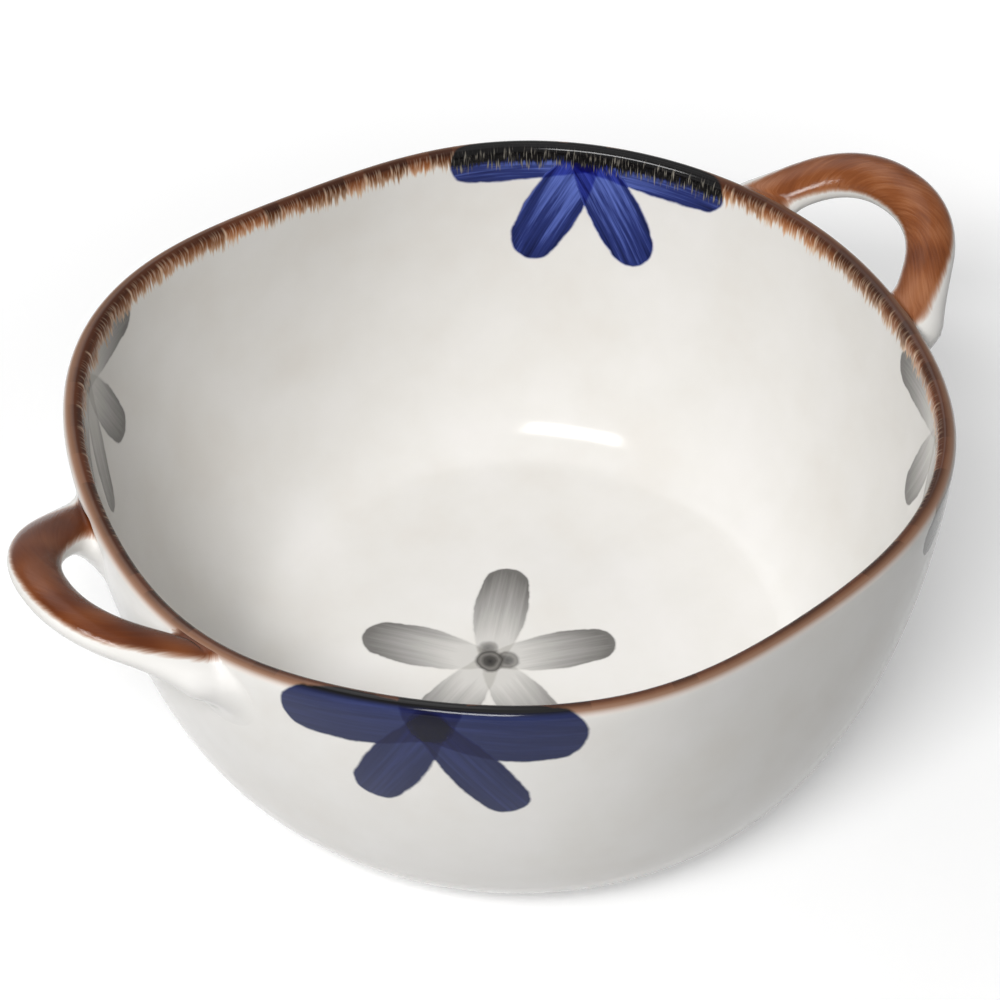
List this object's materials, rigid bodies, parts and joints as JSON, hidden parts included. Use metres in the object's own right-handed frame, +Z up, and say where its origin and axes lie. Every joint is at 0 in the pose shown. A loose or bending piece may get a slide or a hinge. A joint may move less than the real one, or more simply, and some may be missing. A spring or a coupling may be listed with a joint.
{
  "type": "handled serving bowl",
  "caption": "Hand-formed glazed stoneware serving bowl with a wavy painted rim, a low foot ring and flattened strap handles on opposite sides.",
  "frame": {"origin": "centre of the foot ring, on the surface that the bowl stands on", "axes": "+Z up, +X toward the right handle, +Y toward the back of the bowl"},
  "size_m": [0.2751, 0.21, 0.1056],
  "materials": {
    "white_glaze": "gloss",
    "foot_glaze": "satin",
    "oxide_glaze": "gloss"
  },
  "bodies": {
    "root": {"bowl_body": "white_glaze", "foot_ring": "foot_glaze", "left_handle": "oxide_glaze", "right_handle": "oxide_glaze"}
  },
  "joints": []
}
